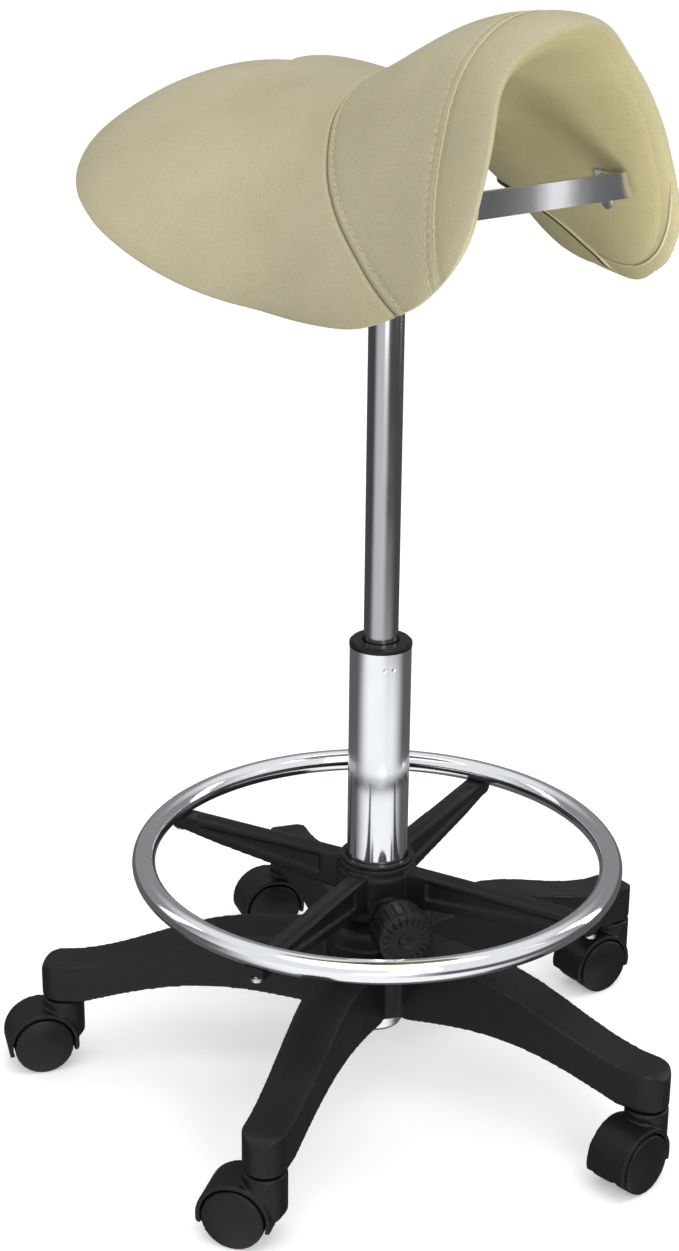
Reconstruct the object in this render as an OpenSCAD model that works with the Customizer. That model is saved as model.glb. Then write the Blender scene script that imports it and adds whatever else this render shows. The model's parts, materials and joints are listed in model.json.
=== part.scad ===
// Adjustable swivel saddle stool: padded saddle seat on a gas lift column, with a foot ring and
// a five-leg base on twin-wheel casters. Millimetres, +Z up, origin on the floor on the column axis.
// The sitter faces -Y.

/* [Base] */
// Distance from the column axis to each caster stem
stem_circle_r = 265; // [258:1:272]
// Turn of the first leg from +X, in degrees
base_turn = -2.6; // [-6:0.2:6]
// Height of the top of the base hub
hub_top = 149; // [146:1:149]
// Height of the underside of each leg's tip
boss_bottom = 65; // [64:0.5:66]
// Height of the top of each leg at its tip
leg_tip_top = 98; // [97:0.5:102]
// Half width of a leg at its tip
leg_tip_w = 17.5; // [17:0.5:19]
// Half width of a leg at the hub
leg_root_w = 22.5; // [22:0.5:25]

/* [Casters] */
// Wheel diameter
wheel_d = 50; // [49:0.5:50]
// Trail from the stem axis to the axle
trail = 20; // [19:0.5:21]
// Direction of each caster's trail, in degrees from +X
caster_turn = [177, 162, 157.5, 125.5, 187];

/* [Column] */
// Outside diameter of the outer tube
tube_d = 50; // [49.5:0.1:50.5]
// Height of the collar on top of the outer tube
tube_top = 392.5; // [385:0.5:400]
// Outside diameter of the gas cylinder
cylinder_d = 28; // [27.5:0.1:28.5]
// Travel of the seat below the drawn height
stroke = 260; // [200:5:260]

/* [Foot ring] */
// Radius of the ring's centre line
ring_r = 193; // [190:1:196]
// Diameter of the ring's tube
ring_tube_d = 19; // [18:0.5:20]
// Height of the ring's centre line
ring_z = 199; // [198:0.5:200]
// Turn of the first arm from +X, in degrees
arm_turn = 23; // [18:1:28]
// Diameter of the clamp knob
knob_d = 48; // [44:1:48]
// Direction of the clamp knob, in degrees from +X
knob_turn = -112; // [-114:1:-110]

/* [Saddle] */
// Stations along the seat from front to back, for the three lists below
station_y = [-200, -115, -30, 60, 165];
// Height of the padding's middle layer on the centre line
ridge_z = [890, 868, 828, 817, 835];
// Radius of the arch over the centre line
arch_r = [75, 66, 108, 213, 216];
// Slope of the flaps beyond the arch, in degrees
flap_slope = [72, 61, 49, 26, 27];
// Directions on the flattened seat, in degrees, for the outline below
outline_dir = [-90, -68, -55, -42, -28, -8, 20, 45, 68, 90];
// Distance from the seat's middle to its edge, laid flat
outline_r = [190, 190, 230, 272, 268, 225, 247, 245, 181, 146];
// Half thickness of the padding at the front
pad_front = 24; // [22:0.5:25]
// Half thickness of the padding at the back
pad_rear = 20; // [19:0.5:21]

/* [Seat frame] */
// Underside of the mounting board
board_z = 781; // [780:0.5:782]
// Half width of the mounting board
board_w = 62; // [60:1:64]
// Height of the front bar's middle
bar_z = 773.5; // [772:0.5:775]
// Front bar height
bar_h = 18.5; // [17.5:0.5:20]
// Position of the front bar along the seat
bar_y = -176; // [-178:1:-174]

/* [Hidden] */
$fn = 96;

fit = 0.08;          // radial clearance of a running fit
press = 0.02;        // radial clearance of a tight fit
slip = 0.05;         // radial clearance of a fit put together by hand
gap = 0.3;           // clearance between faces of different bodies
legs = 5;
wheel_r = wheel_d / 2;
tube_r = tube_d / 2;
cylinder_r = cylinder_d / 2;

// Base
hub_r = 47;
hub_bottom = 68;
tube_bottom = 46;
taper_drop = 1.2;    // how much the column narrows inside the hub
stem_r = 5.5;
socket_top = 94;

// Caster
hood_r = wheel_r + 5;
well_r = wheel_r + 1.2;
hood_half = 18.4;
web_half = 3;
hood_low = 18;
neck_r = 17.5;
neck_top = boss_bottom - 2;
stem_low = 48.5;
axle_r = 3;
axle_half = 16.8;
wheel_in = 3.6;
wheel_face = 19;
wheel_dome = 4.2;

// Column
tube_wall = 2;
plate_t = 4;
bearing_h = 4.5;
bumper_h = 5.5;
floor_t = 2;         // turned-in floor of the outer tube
bearing_z = tube_bottom + floor_t + plate_t;
bumper_clear = 6;    // left above the bumper with the seat right down
bush_low = 300;
rod_r = 5;
cylinder_low = bearing_z + bearing_h + bumper_h + bumper_clear + stroke;
cylinder_wall = 1.5;
socket_low = 700;
cylinder_top = 758;
cone_drop = 0.75;
pin_r = 3;
pin_top = 764;

// Foot ring
sleeve_r = tube_r + 3;
sleeve_low = 150.5;
sleeve_top = 203;
spider_r = 33;
spider_top = 199.8;
knob_z = 164;
knob_near = 48.8;
knob_far = 85;
knob_grooves = 20;
stud_r = 5;
arm_half = 8.5;
screw_r = 2.5;
ring_wall = 1.3;

// Seat surface
seat_mid = -15;      // where the flattened seat's middle lies along Y
rim_power = 2.6;
lower_pad = 0.95;    // depth of the padding under the middle layer, against that above it
recess = 4;          // depth from the middle layer to the recess for the shell
shell_gap = 1;       // between cushion and shell
liner_gap = 1.2;     // between shell and liner or board
shell_t = 5.5;
liner_t = 3;
shell_edge = 0.83;
recess_edge = 0.85;
around = 72;

// Seat frame
plate_t2 = 3;
plate_y0 = -42;
plate_y1 = 72;
channel_depth = 26;
channel_x = 44;
channel_y = 28;
lever_z = pin_top + 4.2;
lever_pivot = -22;
lever_turn = -45;
bolt_x = 50;
bolt_y = 42;
bolt_mid = (plate_y0 + plate_y1) / 2;
bar_t = 4;
bar_half = 72.5;
ear_drop = 21;
ear_w = 9;
ear_tilt = 23;
ear_y = bar_y + 22;
ear_t = 3;

// ---------- shared helpers ----------

// Slope of a smooth curve through the points (xs, ys) at point i
function knot_slope(i, xs, ys) =
    let (n = len(xs) - 1)
    i == 0 ? (ys[1] - ys[0]) / (xs[1] - xs[0])
    : i == n ? (ys[n] - ys[n - 1]) / (xs[n] - xs[n - 1])
    : let (h0 = xs[i] - xs[i - 1], h1 = xs[i + 1] - xs[i])
      ((ys[i + 1] - ys[i]) / h1 * h0 + (ys[i] - ys[i - 1]) / h0 * h1) / (h0 + h1);

// Which stretch of xs holds x
function stretch(x, xs, i = 0) = (i >= len(xs) - 2 || x < xs[i + 1]) ? i : stretch(x, xs, i + 1);

// Smooth curve through the points (xs, ys)
function curve(x, xs, ys) =
    let (i = stretch(x, xs), h = xs[i + 1] - xs[i], t = (x - xs[i]) / h)
    (2 * t^3 - 3 * t^2 + 1) * ys[i] + (t^3 - 2 * t^2 + t) * h * knot_slope(i, xs, ys)
    + (3 * t^2 - 2 * t^3) * ys[i + 1] + (t^3 - t^2) * h * knot_slope(i + 1, xs, ys);

module ring(r_out, r_in, z0, z1) {
    translate([0, 0, z0]) difference() {
        cylinder(r = r_out, h = z1 - z0);
        translate([0, 0, -1]) cylinder(r = r_in, h = z1 - z0 + 2);
    }
}

module along_x(x0, x1, r) {
    translate([x0, 0, 0]) rotate([0, 90, 0]) cylinder(r = r, h = x1 - x0);
}

module along_y(y0, y1, r) {
    translate([0, y1, 0]) rotate([90, 0, 0]) cylinder(r = r, h = y1 - y0);
}

module each_leg() {
    for (k = [0:legs - 1]) rotate([0, 0, base_turn + 360 / legs * k]) children();
}

// ---------- base ----------

leg_start = 20;      // where the legs begin inside the hub
leg_root_top = 132;
leg_steps = 14;
leg_arch = 16;
leg_slope_start = 106;
leg_slope_run = 160;
arch_start = 50;
arch_end = stem_circle_r - 18;
tip_end = stem_circle_r + leg_tip_w + 0.6;
tip_round = 12;
leg_wall = 4;
rib_t = 3;
rib_r = [90, 130, 170, 210];

function leg_top(r) =
    let (t = max(0, min(1, (r - leg_slope_start) / leg_slope_run)))
    leg_tip_top + (leg_root_top - leg_tip_top) * (0.5 + 0.5 * cos(180 * t));
function leg_bottom(r) =
    let (t = (r - arch_start) / (arch_end - arch_start))
    hub_bottom + 2 - (hub_bottom + 2 - boss_bottom) * t + leg_arch * sin(180 * t);
function leg_side(drop) = concat(
    [[leg_start, 0], [leg_start, leg_root_top - drop]],
    [for (i = [0:leg_steps]) let (r = leg_slope_start + (tip_end - tip_round - leg_slope_start) * i / leg_steps)
        [r, leg_top(r) - drop]],
    [for (a = [75:-15:0]) [tip_end - tip_round * (1 - cos(a)), leg_tip_top - drop - tip_round * (1 - sin(a))]],
    [[tip_end, 0]]);

module leg_plan(trim) {
    translate([stem_circle_r, 0]) circle(r = leg_tip_w - trim);
    polygon([[0, -leg_root_w + trim], [120, -leg_root_w + 2 + trim], [stem_circle_r, -leg_tip_w + trim],
             [stem_circle_r, leg_tip_w - trim], [120, leg_root_w - 2 - trim], [0, leg_root_w - trim]]);
}

module leg_block(drop, trim) {
    intersection() {
        translate([0, 40, 0]) rotate([90, 0, 0]) linear_extrude(80) polygon(leg_side(drop));
        linear_extrude(200) leg_plan(trim);
    }
}

module under_arch() {
    translate([0, 45, 0]) rotate([90, 0, 0]) linear_extrude(90) polygon(concat(
        [[38, 0], [38, hub_bottom + 2], [arch_start, hub_bottom + 2]],
        [for (i = [1:leg_steps]) let (r = arch_start + (arch_end - arch_start) * i / leg_steps) [r, leg_bottom(r)]],
        [[tip_end + 5, boss_bottom], [tip_end + 5, 0]]));
    translate([-1, -45, -1]) cube([39.5, 90, hub_bottom + 6]);
}

// Pocket under a leg, crossed by stiffening ribs
module leg_pocket() {
    difference() {
        intersection() {
            leg_block(leg_wall + 0.5, leg_wall);
            translate([hub_r + 8, -40, 0]) cube([stem_circle_r - 27 - hub_r - 8, 80, 200]);
        }
        translate([0, -rib_t / 2, 0]) cube([300, rib_t, 200]);
        for (r = rib_r) translate([r - rib_t / 2, -40, 0]) cube([rib_t, 80, 200]);
    }
}

module star_base() {
    color([0.06, 0.06, 0.065]) difference() {
        union() {
            each_leg() difference() {
                leg_block(0, 0);
                under_arch();
                leg_pocket();
            }
            rotate_extrude() polygon([[0, hub_bottom], [hub_r - 4, hub_bottom], [hub_r, hub_bottom + 4.5],
                                      [hub_r, hub_top - 3], [hub_r - 3, hub_top], [0, hub_top]]);
        }
        hub_bore();
        each_leg() translate([stem_circle_r, 0, boss_bottom - 1])
            cylinder(r = stem_r + slip, h = socket_top - boss_bottom + 1);
    }
}

module hub_bore() {
    rotate_extrude() polygon([[0, hub_bottom - 3], [tube_r - taper_drop + slip, hub_bottom - 3],
                              [tube_r - taper_drop + slip, hub_bottom], [tube_r + slip, hub_top],
                              [tube_r + slip, hub_top + 3], [0, hub_top + 3]]);
}

module caster_stems() {
    color([0.7, 0.7, 0.72]) each_leg() translate([stem_circle_r, 0, 0]) union() {
        translate([0, 0, stem_low]) cylinder(r = stem_r, h = socket_top - 1.5 - stem_low);
        ring(9, stem_r - 1, neck_top + gap, boss_bottom);
    }
}

// ---------- casters ----------

module at_caster(k) {
    turn = base_turn + 360 / legs * (k - 1);
    translate([stem_circle_r * cos(turn), stem_circle_r * sin(turn), 0])
        rotate([0, 0, caster_turn[k - 1]]) children();
}

module at_axle() {
    translate([trail, 0, wheel_r]) children();
}

module caster_body() {
    difference() {
        union() {
            intersection() {
                at_axle() along_y(-hood_half, hood_half, hood_r);
                translate([-60, -40, hood_low]) cube([140, 80, 80]);
            }
            rotate_extrude() polygon([[0, hood_low + 4], [neck_r - 5, hood_low + 4], [neck_r, hood_low + 12],
                                      [neck_r, neck_top - 1.5], [neck_r - 1.5, neck_top], [0, neck_top]]);
            at_axle() along_y(-web_half, web_half, wheel_r - 4);
        }
        at_axle() along_y(web_half, 40, well_r);
        at_axle() along_y(-40, -web_half, well_r);
        at_axle() along_y(-web_half - 1, web_half + 1, axle_r + press);
        translate([0, 0, stem_low - 0.5]) cylinder(r = stem_r + fit, h = 30);
    }
}

module caster_axle() {
    at_axle() along_y(-axle_half, axle_half, axle_r);
}

dome_r = (wheel_r^2 + wheel_dome^2) / (2 * wheel_dome);
dome_edge = asin((wheel_r - 1) / dome_r);

// side is 1 for the wheel on +Y and -1 for the one on -Y
module wheel(side) {
    at_axle() rotate([-90 * side, 0, 0]) rotate_extrude() polygon(concat(
        [[axle_r + fit, wheel_in], [8, wheel_in], [8, 13.5], [20.5, 13.5], [20.5, wheel_in],
         [wheel_r - 0.8, wheel_in], [wheel_r, wheel_in + 0.8], [wheel_r, wheel_face - 1.6],
         [wheel_r - 0.8, wheel_face - 1.3], [wheel_r - 0.8, wheel_face - 0.5], [wheel_r, wheel_face]],
        [for (i = [8:-1:0]) let (a = dome_edge * i / 8)
            [dome_r * sin(a), wheel_face + wheel_dome - dome_r + dome_r * cos(a)]],
        [[0, axle_half + 0.4], [axle_r + fit, axle_half + 0.4]]));
}

// ---------- column ----------

module outer_tube() {
    color([0.8, 0.81, 0.83]) difference() {
        rotate_extrude() polygon([[20, tube_bottom], [tube_r - taper_drop - 1.5, tube_bottom],
            [tube_r - taper_drop, tube_bottom + 2.5], [tube_r - taper_drop, hub_bottom], [tube_r, hub_top],
            [tube_r, tube_top - 5], [tube_r - tube_wall, tube_top - 5],
            [tube_r - tube_wall, hub_top], [tube_r - tube_wall - taper_drop, hub_bottom],
            [tube_r - tube_wall - taper_drop, tube_bottom + floor_t], [20, tube_bottom + floor_t]]);
        for (a = [-120, -104]) rotate([0, 0, a]) translate([tube_r + 2.4, 0, tube_top - 18]) sphere(r = 3, $fn = 24);
    }
}

module tube_end_plate() {
    color([0.6, 0.6, 0.62])
        ring(tube_r - tube_wall - taper_drop, rod_r + gap, tube_bottom + floor_t, bearing_z);
}

module guide_bush() {
    color([0.05, 0.05, 0.05]) rotate_extrude() polygon([
        [cylinder_r + fit, bush_low], [tube_r - tube_wall - slip, bush_low],
        [tube_r - tube_wall - slip, tube_top - 5], [tube_r + 0.4, tube_top - 5], [tube_r + 0.4, tube_top - 2],
        [tube_r - 1.6, tube_top], [cylinder_r + 1.5, tube_top], [cylinder_r + fit, tube_top - 1.5]]);
}

module piston_rod() {
    color([0.75, 0.75, 0.78]) translate([0, 0, tube_bottom - 8])
        cylinder(r = rod_r, h = cylinder_low + 34 - tube_bottom);
}

module piston() {
    color([0.3, 0.3, 0.32]) ring(cylinder_r - cylinder_wall - fit, rod_r + press, cylinder_low + 22.5, cylinder_low + 25);
}

module thrust_bearing() {
    color([0.65, 0.65, 0.68]) {
        ring(15, rod_r + press, bearing_z + bearing_h - 1.2, bearing_z + bearing_h);
        for (a = [0:30:330]) rotate([0, 0, a]) translate([11, 0, bearing_z + 1.65]) sphere(r = 1.6, $fn = 24);
    }
}

module rubber_bumper() {
    color([0.08, 0.08, 0.08]) ring(13, rod_r + press, bearing_z + bearing_h, bearing_z + bearing_h + bumper_h);
}

module rod_retainer() {
    color([0.7, 0.7, 0.72]) {
        ring(12, rod_r + press, tube_bottom - 2.3, tube_bottom - 0.1);
        difference() {
            ring(8, rod_r + press, tube_bottom - 4, tube_bottom - 2.3);
            translate([0, -2, tube_bottom - 5]) cube([20, 4, 4]);
        }
    }
}

module gas_cylinder() {
    color([0.62, 0.63, 0.65]) difference() {
        rotate_extrude() polygon([[0, cylinder_low], [cylinder_r - 1, cylinder_low], [cylinder_r, cylinder_low + 1],
            [cylinder_r, socket_low], [cylinder_r - cone_drop, cylinder_top - 1],
            [cylinder_r - cone_drop - 1, cylinder_top], [0, cylinder_top]]);
        translate([0, 0, cylinder_low - 1]) cylinder(r = cylinder_r - cylinder_wall, h = socket_low - cylinder_low - 20);
        translate([0, 0, cylinder_top - 30]) cylinder(r = pin_r + fit, h = 40);
    }
}

module rod_seal() {
    color([0.1, 0.1, 0.1])
        ring(cylinder_r - cylinder_wall - press, rod_r + fit, cylinder_low + 1, cylinder_low + 21.5);
}

module release_pin() {
    color([0.8, 0.8, 0.82]) translate([0, 0, cylinder_top - 24]) cylinder(r = pin_r, h = pin_top - cylinder_top + 24);
}

// ---------- foot ring ----------

module ring_sleeve() {
    color([0.09, 0.09, 0.09]) rotate_extrude() polygon([
        [tube_r + fit, sleeve_low], [sleeve_r, sleeve_low], [sleeve_r, spider_top + 0.2],
        [sleeve_r + 2.4, spider_top + 0.2], [sleeve_r + 2.4, sleeve_top - 1], [sleeve_r + 1.4, sleeve_top],
        [tube_r + 1.2, sleeve_top], [tube_r + fit, sleeve_top - 1.2]]);
}

function arm_top(r) = 194.5 - 2 * (r - 30) / (ring_r - 30);
arm_tip = ring_r + 6;

module arm() {
    difference() {
        translate([0, arm_half, 0]) rotate([90, 0, 0]) linear_extrude(2 * arm_half) polygon([
            [30, 163], [70, 167], [150, 175], [185, 180], [arm_tip - 4, 180], [arm_tip, 184], [arm_tip, 191],
            [arm_tip - 2, arm_top(ring_r)], [30, arm_top(30)]]);
        translate([0, 3.5, 0]) rotate([90, 0, 0]) linear_extrude(7) polygon([
            [38, arm_top(38) - 2.5], [ring_r - 18, arm_top(ring_r - 18) - 2.5], [ring_r - 18, 210], [38, 210]]);
        for (s = [-1, 1]) translate([0, s * (arm_half + 1.5), 0]) rotate([90, 0, 0]) linear_extrude(8, center = true)
            polygon([[50, 174.5], [140, 181.5], [ring_r - 24, 183], [ring_r - 24, 187], [50, 190.5]]);
    }
}

module at_knob() {
    rotate([0, 0, knob_turn]) translate([0, 0, knob_z]) children();
}

module ring_spider() {
    color([0.06, 0.06, 0.065]) difference() {
        union() {
            rotate_extrude() polygon([[sleeve_r + fit, sleeve_low], [spider_r - 1.5, sleeve_low],
                [spider_r, sleeve_low + 1.5], [spider_r, spider_top - 9], [spider_r - 1.5, spider_top - 7.5],
                [spider_r - 1.5, spider_top - 1.5], [spider_r - 3, spider_top], [sleeve_r + fit, spider_top]]);
            for (k = [0:3]) rotate([0, 0, arm_turn + 90 * k]) arm();
            at_knob() along_x(sleeve_r + 1.5, knob_near - 0.6, 11);
        }
        rotate_extrude() translate([ring_r, ring_z]) circle(r = ring_tube_d / 2 + press);
        at_knob() along_x(sleeve_r - 4, knob_near + 1, stud_r + fit);
        for (k = [0:3]) rotate([0, 0, arm_turn + 90 * k]) translate([ring_r, 0, 170])
            cylinder(r = screw_r + slip, h = 25, $fn = 32);
    }
}

module foot_ring() {
    color([0.85, 0.86, 0.88]) difference() {
        rotate_extrude($fn = 128) translate([ring_r, ring_z]) circle(r = ring_tube_d / 2, $fn = 48);
        rotate_extrude($fn = 128) translate([ring_r, ring_z]) circle(r = ring_tube_d / 2 - ring_wall, $fn = 48);
        for (k = [0:3]) rotate([0, 0, arm_turn + 90 * k]) translate([ring_r, 0, 180])
            cylinder(r = screw_r + slip, h = 15, $fn = 32);
    }
}

module ring_screws() {
    color([0.75, 0.75, 0.77]) for (k = [0:3]) rotate([0, 0, arm_turn + 90 * k]) translate([ring_r, 0, 0])
        difference() {
            union() {
                translate([0, 0, 179]) cylinder(r = screw_r, h = 15);
                translate([0, 0, 176.8]) cylinder(r = 4.5, h = 3);
            }
            for (a = [0, 90]) rotate([0, 0, a]) translate([-3, -0.5, 176]) cube([6, 1, 2]);
        }
}

module clamp_pad() {
    color([0.75, 0.6, 0.3]) at_knob() along_x(sleeve_r + 0.6, sleeve_r + 2.6, stud_r);
}

module clamp_knob() {
    color([0.07, 0.07, 0.075]) at_knob() difference() {
        rotate([0, 90, 0]) rotate_extrude() polygon([
            [0, knob_near], [knob_d / 2 - 5, knob_near], [knob_d / 2 - 1.5, knob_near + 6],
            [knob_d / 2, knob_near + 12], [knob_d / 2, knob_far - 5], [knob_d / 2 - 1.5, knob_far - 1.5],
            [knob_d / 2 - 5, knob_far], [7, knob_far], [5, knob_far - 1.5], [3.5, knob_far - 1], [0, knob_far - 0.5]]);
        for (a = [0:360 / knob_grooves:359]) rotate([a, 0, 0]) {
            translate([knob_near + 14, -0.7, knob_d / 2 - 1.3]) cube([knob_far - knob_near, 1.4, 4]);
            translate([knob_far - 1.3, -0.6, knob_d / 2 - 10]) cube([4, 1.2, 12]);
        }
        along_x(knob_near - 1, knob_near + 22, stud_r - press);
    }
}

module clamp_stud() {
    color([0.7, 0.7, 0.72]) at_knob() difference() {
        along_x(sleeve_r + 2.9, knob_near + 21, stud_r - 2 * press);
        for (i = [0:7]) translate([sleeve_r + 5 + 1.5 * i, 0, 0]) rotate([0, 90, 0]) rotate_extrude()
            polygon([[stud_r + 1, -0.4], [stud_r + 1, 0.9], [stud_r - 0.6, 0.25]]);
    }
}

// ---------- saddle surface ----------
// The flattened seat has coordinates a (across) and b (along). Each station is an arch over the
// centre line with straight flaps beyond it.

function arch_turn(a, b) =
    let (s = curve(b, station_y, flap_slope), r = curve(b, station_y, arch_r)) min(abs(a) / r * 180 / PI, s);
function layer(a, b) =
    let (r = curve(b, station_y, arch_r), t = arch_turn(a, b), flat = abs(a) - r * t * PI / 180,
         side = a < 0 ? -1 : 1)
    [side * (r * sin(t) + flat * cos(t)), b,
     curve(b, station_y, ridge_z) - r * (1 - cos(t)) - flat * sin(t)];
function unit(v) = v / norm(v);
// Point at depth d above the middle layer
function off_layer(a, b, d) =
    layer(a, b) + d * unit(cross(layer(a + 1, b) - layer(a - 1, b), layer(a, b + 1) - layer(a, b - 1)));
function edge_r(dir) = curve(asin(sin(dir)), outline_dir, outline_r);
function pad(b) = pad_front + (pad_rear - pad_front) * max(0, min(1, (b + 200) / 260));
function crown(rho) = (1 - min(1, rho)^rim_power)^0.5;
// Point on the seat in direction dir at the fraction rho of the way to the edge, at depth d
function seat_point(dir, rho, d) =
    off_layer(edge_r(dir) * rho * cos(dir), seat_mid + edge_r(dir) * rho * sin(dir), d);
function pad_at(dir, rho) = pad(seat_mid + edge_r(dir) * rho * sin(dir)) * crown(rho);

// Where the liner's hole for the mounting board ends, as a fraction of the way to the edge
function hole_at(dir) =
    min((board_w + 8) / max(0.01, abs(cos(dir))),
        (sin(dir) > 0 ? plate_y1 + 8 - seat_mid : seat_mid + 8 - plate_y0) / max(0.01, abs(sin(dir)))) / edge_r(dir);

// Closed solid from loops of points over all directions. A loop is [rho, kind, depth]: kind 0 has
// a plain depth, kind 1 a depth in pads, and kind 2 a plain depth with rho counted from the hole
// to the shell's edge. The last loop joins the first when looped is true, or both are capped.
module seat_solid(loops, looped) {
    n = around;
    m = len(loops);
    points = [for (loop = loops) for (i = [0:n - 1])
        let (dir = 360 / n * i, hole = hole_at(dir),
             rho = loop[1] == 2 ? hole + (shell_edge - hole) * loop[0] : loop[0])
        seat_point(dir, rho, loop[1] == 1 ? loop[2] * pad_at(dir, rho) : loop[2])];
    strips = [for (j = [0:looped ? m - 1 : m - 2]) for (i = [0:n - 1])
        let (a = j * n + i, b = j * n + (i + 1) % n, c = ((j + 1) % m) * n + (i + 1) % n, d = ((j + 1) % m) * n + i)
        each [[a, b, c], [a, c, d]]];
    caps = looped ? [] : concat(
        [for (i = [1:n - 2]) [0, i + 1, i]],
        [for (i = [1:n - 2]) let (o = (m - 1) * n) [o, o + i, o + i + 1]]);
    polyhedron(points = points, faces = concat(strips, caps), convexity = 8);
}

rho_top = [0.02, 0.2, 0.4, 0.58, 0.74, 0.86, 0.94, 0.985];
rho_shell = [0.02, 0.12, 0.22, 0.32, 0.42, 0.52, 0.62, 0.73, shell_edge];
shell_top = -recess - shell_gap;
shell_low = shell_top - shell_t;
liner_top = shell_low - liner_gap;

function reversed(list) = [for (i = [len(list) - 1:-1:0]) list[i]];

module saddle_cushion() {
    color([0.73, 0.69, 0.58]) seat_solid(concat(
        [for (r = rho_top) [r, 1, 1]], [[1, 1, 0]],
        [for (r = [0.985, 0.94, 0.88]) [r, 1, -lower_pad]], [[recess_edge, 1, -lower_pad]],
        [[recess_edge - 0.005, 0, -recess]], [for (r = reversed(rho_shell)) [r, 0, -recess]]), false);
}

module seat_shell() {
    color([0.12, 0.12, 0.12]) seat_solid(concat(
        [for (r = rho_shell) [r, 0, shell_top]], [for (r = reversed(rho_shell)) [r, 0, shell_low]]), false);
}

module underside_liner() {
    steps = [0, 0.17, 0.34, 0.5, 0.67, 0.84, 1];
    color([0.68, 0.64, 0.53]) seat_solid(concat(
        [for (f = steps) [f, 2, liner_top]], [for (f = reversed(steps)) [f, 2, liner_top - liner_t]]), true);
}

// ---------- seat frame ----------

board_n = 10;

// Board between the shell and the seat plate, shaped to the shell on top
module mounting_board() {
    y0 = plate_y0 - 2;
    y1 = plate_y1 + 2;
    n = board_n;
    top = [for (j = [0:n]) for (i = [0:n]) let (a = board_w * (2 * i / n - 1), b = y0 + (y1 - y0) * j / n)
        off_layer(a, b, liner_top)];
    low = [for (p = top) [p[0], p[1], board_z]];
    cells = [for (j = [0:n - 1]) for (i = [0:n - 1]) j * (n + 1) + i];
    q = (n + 1) * (n + 1);
    up = [for (c = cells) each [[c, c + n + 1, c + 1], [c + 1, c + n + 1, c + n + 2]]];
    down = [for (f = up) [f[0] + q, f[2] + q, f[1] + q]];
    rim = concat([for (i = [0:n]) i], [for (j = [1:n]) j * (n + 1) + n],
                 [for (i = [n - 1:-1:0]) n * (n + 1) + i], [for (j = [n - 1:-1:1]) j * (n + 1)]);
    k = len(rim);
    walls = [for (i = [0:k - 1]) let (a = rim[i], b = rim[(i + 1) % k]) each [[a, b, b + q], [a, b + q, a + q]]];
    color([0.7, 0.56, 0.38]) difference() {
        polyhedron(points = concat(top, low), faces = concat(up, down, walls));
        at_bolts() translate([0, 0, board_z - 1]) cylinder(r = 5.05, h = 13);
        at_bolts() translate([0, 0, board_z + 8]) cylinder(r = 9.2, h = 30);
        translate([0, 0, board_z - 1]) cylinder(r = 12, h = 5);
    }
}

module at_bolts() {
    for (x = [-bolt_x, bolt_x], y = [bolt_mid - bolt_y, bolt_mid + bolt_y]) translate([x, y, 0]) children();
}

module seat_plate() {
    top = board_z - slip;
    low = board_z - channel_depth;
    color([0.08, 0.08, 0.085]) difference() {
        union() {
            translate([-board_w - 2, plate_y0, top - plate_t2]) cube([2 * board_w + 4, plate_y1 - plate_y0, plate_t2]);
            rotate([0, 0, lever_turn]) translate([-channel_x, -channel_y, low])
                cube([2 * channel_x, 2 * channel_y, channel_depth - 1]);
            ring(cylinder_r + 4.5, 4, socket_low + 1, low + 1);
        }
        rotate([0, 0, lever_turn]) {
            translate([-channel_x + 2.5, -channel_y + 2.5, low + 2.5])
                cube([2 * channel_x - 5, 2 * channel_y - 5, channel_depth]);
            translate([-channel_x - 5, -8, low + 2.5]) cube([20, 16, channel_depth - 7]);
            translate([lever_pivot, 0, lever_z]) along_y(-40, 40, 2.55);
        }
        rotate_extrude() polygon([[0, socket_low - 1], [cylinder_r + slip, socket_low - 1],
            [cylinder_r + slip, socket_low], [cylinder_r - cone_drop + slip, cylinder_top], [0, cylinder_top]]);
        at_bolts() translate([0, 0, top - 5]) cylinder(r = 4.4, h = 10);
    }
}

module plate_bolts() {
    color([0.2, 0.2, 0.21]) at_bolts() union() {
        translate([0, 0, board_z - plate_t2 - 5.6]) cylinder(r = 7, h = 5.5, $fn = 6);
        ring(8, 3.5, board_z - plate_t2 - 1.6, board_z - plate_t2 - 0.1);
        translate([0, 0, board_z - plate_t2 - 2]) cylinder(r = 3.97, h = 12);
    }
}

module tee_nuts() {
    color([0.78, 0.75, 0.6]) at_bolts() {
        ring(5, 4, board_z + 0.2, board_z + 8);
        ring(9, 4, board_z + 8, board_z + 9.5);
    }
}

module front_bar() {
    color([0.85, 0.86, 0.88]) difference() {
        union() {
            intersection() {
                translate([-100, bar_y - bar_t / 2, bar_z - bar_h / 2]) cube([200, bar_t, bar_h]);
                bar_span();
            }
            at_ears() translate([-ear_t, bar_y - bar_t / 2, -bar_h / 2]) cube([ear_t, 30, bar_h]);
            at_ears() translate([-ear_t, ear_y - ear_w / 2, ear_w / 2 - ear_drop])
                cube([ear_t, ear_w, ear_drop - ear_w / 2]);
            at_ears() translate([0, ear_y, ear_w / 2 - ear_drop]) along_x(-ear_t, 0, ear_w / 2);
        }
        at_bar_screws() along_x(-5, 5, 2.3);
    }
}

// The space between the two ears' outer faces, which lean with the flaps
module bar_span() {
    lean = tan(ear_tilt) * bar_h;
    translate([0, bar_y + bar_t, bar_z]) rotate([90, 0, 0]) linear_extrude(2 * bar_t) polygon([
        [-bar_half + lean, bar_h], [-bar_half - lean, -bar_h], [bar_half + lean, -bar_h], [bar_half - lean, bar_h]]);
}

module at_ears() {
    for (s = [0, 1]) mirror([s, 0, 0]) translate([bar_half, 0, bar_z]) rotate([0, -ear_tilt, 0]) children();
}

module at_bar_screws() {
    at_ears() for (z = [ear_w / 2 - ear_drop, 2]) translate([0, ear_y, z]) children();
}

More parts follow.
